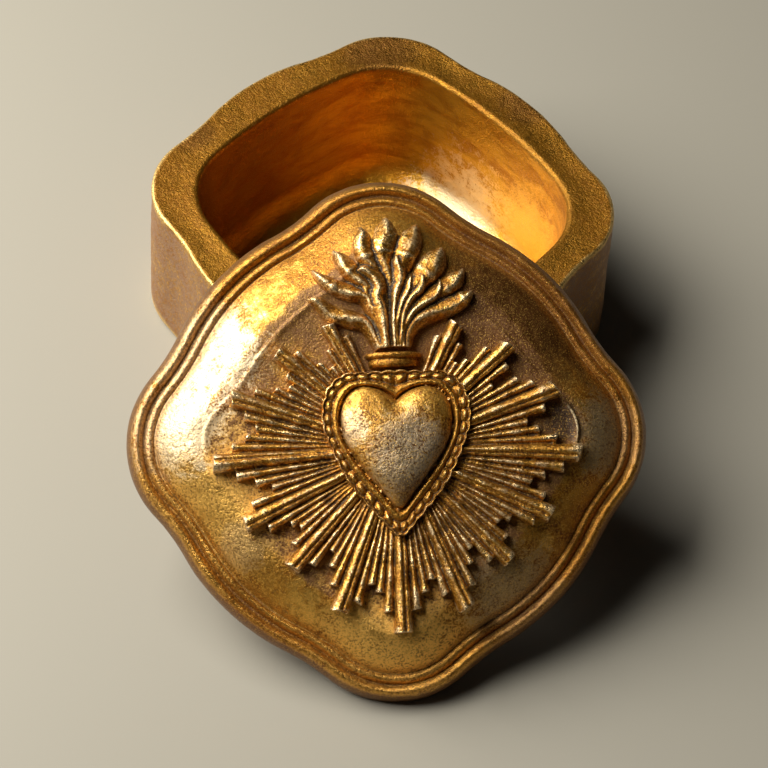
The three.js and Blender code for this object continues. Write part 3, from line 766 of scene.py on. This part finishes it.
def smooth_line(points, steps):
    """A smooth curve through the points."""
    line = []
    ends = [points[0] * 2 - points[1]] + points + [points[-1] * 2 - points[-2]]
    for a, b, c, d in zip(ends, ends[1:], ends[2:], ends[3:]):
        line += interpolate_bezier(b, b + (c - a) / 6, c - (d - b) / 6, c, steps)[:-1]
    return line + [points[-1]]


def tongue(bm, ground, points, rise, fullness):
    """A leaf of flame: rounded sections with a soft ridge that wanders from side to side."""
    line = smooth_line([Vector(p) for p in points], TONGUE_STEPS)
    last = len(line) - 1
    bend = 1 if points[-1][0] < points[0][0] else -1
    rows = []
    for i, spot in enumerate(line):
        t = i / last
        step = (line[min(i + 1, last)] - line[max(i - 1, 0)]).xy.normalized()
        across = Vector((step.y, -step.x))
        half = spot.z / 2 * (1 + fullness * math.sin(math.pi * min(1.0, t * 1.15)) ** 0.7)
        base = ground(spot.x + ORNAMENT_SHIFT, spot.y) - TONGUE_SINK
        height = rise * (0.88 - 0.24 * t) * min(1.0, (spot.z / 2.2) ** 0.6) + TONGUE_SINK
        crest = CREST_WANDER * bend * math.sin(2.4 * math.pi * t)
        row = []
        for j in range(TONGUE_SIDES):
            angle = 2 * math.pi * j / TONGUE_SIDES
            side, up = math.cos(angle), math.sin(angle)
            ridge = math.exp(-((side - crest) / 0.5) ** 2)
            z = base + (height * up ** 0.75 * (0.86 + 0.14 * ridge) if up > 0 else 0.4 * up)
            row.append(Vector((spot.x + across.x * half * side, spot.y + across.y * half * side, z)))
        rows.append(row)
    loft(bm, rows)


def flame_mesh(ground):
    """The fan of tongues, the front ones lying over the back ones; ground gives the height of the lid's top."""
    bm = bmesh.new()
    for points, rise in BACK_TONGUES:
        tongue(bm, ground, points, rise, BACK_FULLNESS)
    for points, rise in FRONT_TONGUES:
        tongue(bm, ground, points, rise + FRONT_LIFT, FRONT_FULLNESS)
    mesh = mesh_of(bm, "flame_gilt", voxels(0.18), softened(5), thinned(0.8))
    rough(mesh, [(0.14, 3.0), (0.05, 0.9)])
    mark_relief(mesh, 4)
    return mesh


# Materials: node trees

def tree_of(name):
    """A new material and its empty node tree."""
    material = bpy.data.materials.new(name)
    material.use_nodes = True
    material.node_tree.nodes.clear()
    return material, material.node_tree


def put(tree, kind, settings=(), **inputs):
    """Adds a node; inputs are keyed by socket name, or i0, i1... by place, and take values or sockets."""
    made = tree.nodes.new(kind)
    for key, value in dict(settings).items():
        setattr(made, key, value)
    for key, value in inputs.items():
        by_place = key[0] == "i" and key[1:].isdigit()
        socket = made.inputs[int(key[1:]) if by_place else key.replace("_", " ")]
        if isinstance(value, bpy.types.NodeSocket):
            tree.links.new(value, socket)
        else:
            socket.default_value = value
    return made


def add(tree, a, b):
    """The sum of two values."""
    return put(tree, "ShaderNodeMath", {"operation": "ADD"}, i0=a, i1=b).outputs[0]


def times(tree, a, b):
    """The product of two values."""
    return put(tree, "ShaderNodeMath", {"operation": "MULTIPLY"}, i0=a, i1=b).outputs[0]


def band(tree, value, low, high, to_low=0.0, to_high=1.0):
    """Smooth step of a value from one range to another."""
    return put(tree, "ShaderNodeMapRange", {"interpolation_type": "SMOOTHSTEP"}, i0=value, i1=low, i2=high,
               i3=to_low, i4=to_high).outputs[0]


def tint(tree, share, a, b):
    """A share of colour b laid over colour a."""
    return put(tree, "ShaderNodeMix", {"data_type": "RGBA"}, i0=share, i6=a, i7=b).outputs[2]


def grain(tree, where, scale, detail, roughness, distortion=0.0):
    """Noise from 0 to 1, its scale counted per unit of the place given."""
    return put(tree, "ShaderNodeTexNoise", (), Vector=where, Scale=scale, Detail=detail, Roughness=roughness,
               Distortion=distortion).outputs["Fac"]


def colour(r, g, b):
    """A linear colour without transparency."""
    return (r, g, b, 1.0)


LEAF = colour(0.94, 0.53, 0.10)
AMBER = colour(0.42, 0.175, 0.012)
BROWN = colour(0.13, 0.048, 0.009)
RUST = colour(0.36, 0.125, 0.006)
UMBER = colour(0.03, 0.013, 0.005)
GOLD = colour(0.95, 0.57, 0.11)
PALE = colour(0.96, 0.76, 0.44)
# Painted highlight: cream laid where the light is reflected, on the box floor, the lid's left slope and the heart's
# left lobe
PAINTED_HIGHLIGHT = colour(0.98, 0.81, 0.53)
BONE = colour(0.97, 0.75, 0.43)
WARM = colour(0.97, 0.55, 0.12)
TAN = colour(0.42, 0.31, 0.165)
SILVER = colour(0.46, 0.38, 0.27)
DUSK = colour(0.24, 0.118, 0.045)
BRUSHED_LIGHT = colour(0.80, 0.44, 0.04)
BRUSHED_DARK = colour(0.50, 0.21, 0.012)
# Painted shade: the dark brushed colour laid over the inside of the box towards the left
BRUSHED_PAINTED_SHADE = colour(0.20, 0.066, 0.004)
RIM_WEAR = colour(0.92, 0.63, 0.22)
RIM_TONE = colour(0.25, 0.10, 0.002)
WALL_TONE = colour(0.34, 0.19, 0.11)
MOULDING_TONE = colour(0.44, 0.17, 0.022)
EDGE_TONE = colour(0.16, 0.055, 0.012)
FLAME_CREST = colour(0.95, 0.72, 0.38)
FLOOR_TONE = colour(0.345, 0.325, 0.265)
FLOOR_CLOUD = colour(0.37, 0.348, 0.286)

# Layers of noise in the gilding, from broad to fine, as (scale per mm, detail, roughness, distortion)
GRAINS = ((0.07, 2.0, 0.5, 0.0), (0.32, 6.0, 0.64, 0.4), (1.0, 4.0, 0.65, 0.3), (1.9, 3.0, 0.7, 0.0),
          (4.0, 1.0, 0.5, 0.0))
BRUSH_STRETCH = (0.4, 0.4, 1.3)
BRUSH_GRAIN = (0.2, 7.0, 0.66, 0.5)
BUMP_STRENGTH = 0.6
BUMP_DEPTH = 0.0004

# Where a layer starts and where it is full: values of the noise, or millimetres across the mouth for the painted shade
# on its left side
GLAZE_START = 0.6
GLAZE_FULL = 0.68
GLAZE_REACH = 0.22
CLOUDS_AT = (0.49, 0.58)
BRUSH_AT = (0.36, 0.66)
PAINTED_SHADE_AT = (6.0, -36.0)
PATCH_BREAKS_AT = (0.9, 1.04)
DARK_AT = (0.7, 0.62)
BRIGHT_AT = (0.66, 0.74)
SPARKS_AT = (0.61, 0.67)

# How far a patch reaches and how ragged it is, as shares of its radius, and a level's raggedness by its own width
PATCH_START = 1.6
PATCH_FULL = 0.8
PATCH_RAGGED = 1.1
LEVEL_RAGGED = 1.4

# How much a layer takes from the metal look
GLAZE_DULLING = 0.22
WALL_DULLING = 0.55
DIRT_DULLING = 0.6
DARK_DULLING = 0.25


def gilding(name, place, glaze_amount, wear, dull, roughness, clouds, stipple, worn=PALE, hollow=(-0.05, -0.35),
            patches=(), zones=(), edges=(), walls=None, flank=0.0, grime=0.85):
    """Worn gold leaf over a dark ground: leaf, patches of glaze, a fine stipple, rubbed ridges, dirt in the hollows.

    place turns object coordinates into millimetres in the piece's own setting. Each of patches is an area
    (x, y, z, radius, colour, strength, dulling) there laid over with a colour: a worn area, or a painted highlight,
    painted light or painted shadow. Each of zones (axis, low, high, colour, strength, dulling)
    is a level; edges are the same, laid over the wear. walls is (inner radius, outer radius, height, outer colour):
    the piece is brushed inside the one, with painted shade darkening the inside towards the left, and dull outside
    the other."""
    material, tree = tree_of(name)
    coords = put(tree, "ShaderNodeTexCoord").outputs["Object"]
    spot, turn, scale = (TO_METRES @ place).inverted().decompose()
    where = put(tree, "ShaderNodeMapping", {"vector_type": "POINT"}, Vector=coords, Location=spot,
                Rotation=turn.to_euler(), Scale=scale).outputs[0]
    relief = put(tree, "ShaderNodeAttribute", {"attribute_name": "relief"}).outputs["Fac"]
    broad, mottle, chips, speck, spark = (grain(tree, where, *layer) for layer in GRAINS)
    loose = add(tree, speck, -0.5)

    # Leaf, glaze over parts of it and rust-coloured clouds
    drift = add(tree, times(tree, mottle, 0.6), times(tree, broad, 0.4))
    cover = add(tree, drift, times(tree, loose, 0.8))
    glazed = band(tree, cover, GLAZE_START - GLAZE_REACH * glaze_amount, GLAZE_FULL - GLAZE_REACH * glaze_amount)
    shade = tint(tree, glazed, LEAF, AMBER)
    shade = tint(tree, times(tree, band(tree, drift, *CLOUDS_AT), clouds), shade, RUST)
    dulled = times(tree, glazed, GLAZE_DULLING)
    parts = put(tree, "ShaderNodeSeparateXYZ", (), Vector=where)

    def level_tone(shade, dulled, axis, low, high, tone, strength, dulling):
        """Lays a colour over all that lies beyond a level, with a mottled limit."""
        ragged = times(tree, add(tree, mottle, -0.5), LEVEL_RAGGED * abs(high - low))
        level = add(tree, parts.outputs[axis], ragged)
        share = times(tree, band(tree, level, low, high), strength)
        return tint(tree, share, shade, tone), add(tree, dulled, times(tree, share, dulling))

    # Levels, brushed inner wall with painted shade to the left, dull outer wall, patches of wear and of painted light
    # and shadow
    for zone in zones:
        shade, dulled = level_tone(shade, dulled, *zone)
    still = 0.0
    if walls:
        inner, outer, height, tone = walls
        flat = put(tree, "ShaderNodeCombineXYZ", (), X=parts.outputs[0], Y=parts.outputs[1]).outputs[0]
        away = put(tree, "ShaderNodeVectorMath", {"operation": "LENGTH"}, i0=flat).outputs["Value"]
        low = band(tree, parts.outputs[2], height, height - 1.5)
        lines = put(tree, "ShaderNodeMapping", (), Vector=where, Scale=BRUSH_STRETCH).outputs[0]
        strokes = grain(tree, lines, *BRUSH_GRAIN)
        inside = times(tree, low, band(tree, away, inner + 1.0, inner))
        brushed = tint(tree, band(tree, strokes, *BRUSH_AT), BRUSHED_LIGHT, BRUSHED_DARK)
        # Painted shade: the brushed inner wall and floor grow darker towards the left, away from the light
        painted_shade = times(tree, band(tree, parts.outputs[0], *PAINTED_SHADE_AT), 0.85)
        brushed = tint(tree, painted_shade, brushed, BRUSHED_PAINTED_SHADE)
        shade = tint(tree, inside, shade, brushed)
        dulled = times(tree, dulled, add(tree, 1.0, times(tree, inside, -0.9)))
        still = times(tree, inside, 0.8)
        beyond = times(tree, band(tree, away, outer, outer + 0.8), low)
        share = times(tree, beyond, band(tree, add(tree, chips, times(tree, loose, 0.5)), 0.58, 0.48, 0.22, 0.9))
        shade = tint(tree, share, shade, tone)
        dulled = add(tree, dulled, times(tree, share, WALL_DULLING))
    # Patches: worn areas, and also painted highlights, painted light and a painted shadow
    for x, y, z, radius, tone, strength, dulling in patches:
        away = put(tree, "ShaderNodeVectorMath", {"operation": "DISTANCE"}, i0=where, i1=(x, y, z)).outputs["Value"]
        ragged = add(tree, away, times(tree, mottle, radius * PATCH_RAGGED))
        near = band(tree, ragged, radius * PATCH_START, radius * PATCH_FULL)
        broken_up = add(tree, add(tree, speck, times(tree, chips, 0.5)), times(tree, near, 0.45))
        share = times(tree, times(tree, near, band(tree, broken_up, *PATCH_BREAKS_AT)), strength)
        shade = tint(tree, share, shade, tone)
        dulled = add(tree, dulled, times(tree, share, dulling))

    # Rubbed ridges, dark and bright stipple, dirt
    loud = put(tree, "ShaderNodeMath", {"operation": "SUBTRACT"}, i0=stipple, i1=times(tree, still, stipple)).outputs[0]
    uneven = add(tree, relief, times(tree, loose, 0.3))
    if flank:
        shade = tint(tree, band(tree, uneven, wear[1] * 0.6, -0.02, 0.0, flank), shade, RUST)
    rubbed = band(tree, uneven, *wear)
    shade = tint(tree, times(tree, rubbed, 0.9), shade, worn)
    calm = add(tree, 1.0, times(tree, rubbed, -0.75))
    for zone in edges:
        shade, dulled = level_tone(shade, dulled, *zone)
    dirty = band(tree, add(tree, relief, times(tree, loose, 0.2)), *hollow)
    patchy = band(tree, mottle, 0.4, 0.58, 0.45, 1.0)
    dark = times(tree, band(tree, add(tree, times(tree, chips, 0.4), speck), *DARK_AT), times(tree, patchy, loud))
    shade = tint(tree, dark, shade, BROWN)
    bright = times(tree, band(tree, add(tree, speck, times(tree, mottle, 0.25)), *BRIGHT_AT), times(tree, loud, 0.5))
    bright = times(tree, bright, times(tree, calm, band(tree, dulled, 0.45, 0.2, 0.25, 1.0)))
    shade = tint(tree, bright, shade, GOLD)
    shade = tint(tree, times(tree, dirty, grime), shade, UMBER)
    sparks = times(tree, band(tree, spark, *SPARKS_AT), times(tree, calm, times(tree, loud, 0.8)))
    shade = tint(tree, sparks, shade, GOLD)
    dulled = add(tree, dulled, add(tree, times(tree, dirty, DIRT_DULLING), times(tree, dark, DARK_DULLING)))

    # Metal, gloss and bumps
    metal = put(tree, "ShaderNodeMath", {"operation": "SUBTRACT", "use_clamp": True}, i0=1.0 - dull,
                i1=dulled).outputs[0]
    smooth = add(tree, roughness - 0.08, times(tree, rubbed, -0.07))
    gloss = add(tree, smooth, add(tree, times(tree, speck, 0.16), times(tree, dulled, 0.3)))
    height = add(tree, times(tree, speck, 0.9), add(tree, times(tree, chips, 0.6), times(tree, mottle, 0.8)))
    bumped = put(tree, "ShaderNodeBump", (), Strength=BUMP_STRENGTH, Distance=BUMP_DEPTH, Height=height).outputs[0]
    shader = put(tree, "ShaderNodeBsdfPrincipled", (), Base_Color=shade, Metallic=metal, Roughness=gloss,
                 Normal=bumped)
    put(tree, "ShaderNodeOutputMaterial", (), Surface=shader.outputs[0])
    return material


def floor_material():
    """A plain pale floor, very slightly cloudy."""
    material, tree = tree_of("pale_floor")
    coords = put(tree, "ShaderNodeTexCoord").outputs["Object"]
    cloudy = grain(tree, coords, 3.0, 2.0, 0.5)
    shade = tint(tree, cloudy, FLOOR_TONE, FLOOR_CLOUD)
    shader = put(tree, "ShaderNodeBsdfPrincipled", (), Base_Color=shade, Roughness=0.7)
    put(tree, "ShaderNodeOutputMaterial", (), Surface=shader.outputs[0])
    return material


# Making the pieces

HOME = Matrix.Identity(4)
ORNAMENT_PLACE = LID_PLACE @ Matrix.Translation((ORNAMENT_SHIFT, 0, 0))

# Box patches: a painted highlight in cream on the floor at the back, painted light in gold on the right inner wall,
# darker brown areas on the rim
BOX_PATCHES = ((16, 22, 5, 26, PAINTED_HIGHLIGHT, 0.7, 0.0), (34, 12, 14, 22, GOLD, 0.8, 0.0), (-4, 50, 38, 16, BROWN, 0.6, 0.0),
               (34, 36, 38, 13, BROWN, 0.6, 0.0), (-47, 16, 38, 9, BROWN, 0.5, 0.0))
# Lid patches: areas of warm gold, amber, tan, silver and brown; the two cream ones are a painted highlight on the left
# slope, the umber one by the plateau's right corner a painted shadow of the ray tips
LID_PATCHES = ((-44, -14, 8, 32, WARM, 0.95, 0.0), (-29, -31, 9, 10, AMBER, 0.6, 0.0), (-2, -50, 8, 30, WARM, 1.0, 0.0),
               (49, -1, 8, 15, TAN, 0.9, 0.2), (27, -37, 9, 19, TAN, 0.8, 0.1), (44, -18, 8, 11, AMBER, 0.7, 0.0),
               (-34, -23, 9, 9, SILVER, 0.35, 0.1), (-42, 21, 8, 21, PAINTED_HIGHLIGHT, 0.9, 0.0),
               (-48, 4, 8, 17, PAINTED_HIGHLIGHT, 0.9, 0.05), (34, 31, 9, 38, BROWN, 1.0, 0.2), (-6, 49, 8, 12, AMBER, 0.8, 0.1),
               (38.3, 1.5, 11.2, 7, UMBER, 0.95, 0.3))
# Heart patches: a rubbed silver middle, a painted highlight in cream on the left lobe, a brown area lower down
HEART_PATCHES = ((2.5, -5, 18, 15, SILVER, 0.85, 0.15), (-10, 2, 17, 6, PAINTED_HIGHLIGHT, 0.6, 0.0),
                 (3, -13, 16, 7, BROWN, 0.55, 0.1))
RIM_ZONES = ((2, 36.9, 37.3, RIM_TONE, 0.85, 0.0),)
PLATEAU_ZONES = ((2, 10.8, 11.1, DUSK, 0.9, 0.3),)
LID_EDGES = ((2, 6.6, 5.6, MOULDING_TONE, 0.55, 0.0), (2, 4.8, 3.6, EDGE_TONE, 0.85, 0.25))

box_gilt = gilding("box_gilt", HOME, glaze_amount=0.95, wear=(0.14, 0.45), worn=RIM_WEAR, hollow=(-0.5, -1.3),
                   stipple=0.25, dull=0.05, roughness=0.33, clouds=0.9, zones=RIM_ZONES,
                   walls=(44.6, 46.0, 37.4, WALL_TONE), patches=BOX_PATCHES)
lid_gilt = gilding("lid_gilt", LID_PLACE, glaze_amount=0.75, wear=(0.15, 0.45), hollow=(-0.2, -0.7), stipple=0.7,
                   dull=0.06, roughness=0.3, grime=0.5, clouds=0.75, zones=PLATEAU_ZONES, edges=LID_EDGES,
                   patches=LID_PATCHES)
cast_gilt = gilding("cast_gilt", ORNAMENT_PLACE, glaze_amount=0.7, wear=(0.1, 0.28), worn=BONE, hollow=(-0.02, -0.17),
                    stipple=0.85, dull=0.04, roughness=0.27, flank=0.9, clouds=0.5)
flame_gilt = gilding("flame_gilt", ORNAMENT_PLACE, glaze_amount=0.8, wear=(0.05, 0.18), worn=FLAME_CREST,
                     hollow=(0.02, -0.09), stipple=0.8, dull=0.03, roughness=0.27, flank=1.0, grime=1.0, clouds=0.6)
heart_gilt = gilding("heart_gilt", ORNAMENT_PLACE, glaze_amount=0.9, wear=(0.25, 0.7), stipple=1.0, dull=0.14,
                     roughness=0.33, clouds=0.5, patches=HEART_PATCHES)

set_piece(box_body_mesh(), "box_body_gilt", "box", box_gilt, HOME, "box_body")

top_mesh = lid_mesh()
lid_tree = BVHTree.FromPolygons([v.co.copy() for v in top_mesh.vertices],
                                [tuple(p.vertices) for p in top_mesh.polygons])
ABOVE_LID = 40.0


def lid_top(x, y):
    """Height of the lid's top at a place on it."""
    hit = lid_tree.ray_cast(Vector((x, y, ABOVE_LID)), Vector((0, 0, -1)))[0]
    return hit.z if hit else LID_HEIGHT


set_piece(top_mesh, "lid_gilt", "lid", lid_gilt, LID_PLACE, "lid")
set_piece(sunburst_mesh(), "sunburst_gilt", "lid", cast_gilt, ORNAMENT_PLACE, "sunburst")
set_piece(heart_frame_mesh(), "heart_frame_gilt", "lid", cast_gilt, ORNAMENT_PLACE, "heart_frame")
set_piece(heart_mesh(), "heart_gilt", "lid", heart_gilt, ORNAMENT_PLACE, "heart")
set_piece(collar_mesh(), "flame_collar_gilt", "lid", cast_gilt, ORNAMENT_PLACE, "flame_collar")
set_piece(flame_mesh(lid_top), "flame_gilt", "lid", flame_gilt, ORNAMENT_PLACE, "flame")


# Stage: floor, camera and lights, in metres

FLOOR_SIZE = 3.0


def lay_floor():
    """One flat face under everything."""
    bm = bmesh.new()
    bmesh.ops.create_grid(bm, x_segments=1, y_segments=1, size=FLOOR_SIZE)
    mesh = mesh_of(bm, "floor")
    mesh.materials.append(floor_material())
    floor = bpy.data.objects.new("floor", mesh)
    bpy.context.scene.collection.objects.link(floor)


def aim(obj, target, roll=0.0):
    """Turns a camera or light to look at a point."""
    look = Vector(target) - obj.location
    obj.rotation_euler = (look.to_track_quat("-Z", "Y").to_matrix() @ Matrix.Rotation(roll, 3, "Z")).to_euler()


CAMERA_ELEVATION = 0.8858
CAMERA_DISTANCE = 0.73894
CAMERA_TARGET = (0.00338, -0.02563, 0.0)
CAMERA_ROLL = 0.072
CAMERA_LENS = 144.0
CAMERA_SENSOR = 36.0


def set_camera():
    """The camera in the photograph's place, as fitted to the rim, the lid and the foot of the box."""
    data = bpy.data.cameras.new("camera")
    data.lens = CAMERA_LENS
    data.sensor_width = CAMERA_SENSOR
    data.clip_start = 0.01
    made = bpy.data.objects.new("camera", data)
    bpy.context.scene.collection.objects.link(made)
    back = Vector((0, -math.cos(CAMERA_ELEVATION), math.sin(CAMERA_ELEVATION)))
    made.location = Vector(CAMERA_TARGET) + back * CAMERA_DISTANCE
    aim(made, CAMERA_TARGET, CAMERA_ROLL)
    bpy.context.scene.camera = made


LIGHT_TARGET = Vector((0.0, -0.03, 0.03))
KEY_DIRECTION = Vector((-0.66, 0.1, 0.73)).normalized()
KEY_DISTANCE = 0.6
KEY_SIZE = (0.52, 0.52)
KEY_POWER = 8.4
KEY_TONE = (1.0, 0.96, 0.9)
ROOM_TONE = (1.0, 0.95, 0.88, 1.0)
ROOM_STRENGTH = 0.012


def softbox(name, place, target, size, power, shade):
    """A rectangular light aimed at a point."""
    data = bpy.data.lights.new(name, "AREA")
    data.shape = "RECTANGLE"
    data.size, data.size_y = size
    data.energy = power
    data.color = shade
    made = bpy.data.objects.new(name, data)
    made.location = place
    bpy.context.scene.collection.objects.link(made)
    aim(made, target)


def set_lights():
    """A window high on the left and a very dim room."""
    place = LIGHT_TARGET + KEY_DIRECTION * KEY_DISTANCE
    softbox("window_light", place, LIGHT_TARGET, KEY_SIZE, KEY_POWER, KEY_TONE)
    world = bpy.data.worlds.new("studio")
    world.use_nodes = True
    world.node_tree.nodes["Background"].inputs[0].default_value = ROOM_TONE
    world.node_tree.nodes["Background"].inputs[1].default_value = ROOM_STRENGTH
    bpy.context.scene.world = world
    bpy.context.scene.view_settings.view_transform = "Standard"
    bpy.context.scene.view_settings.look = "None"


lay_floor()
set_camera()
set_lights()
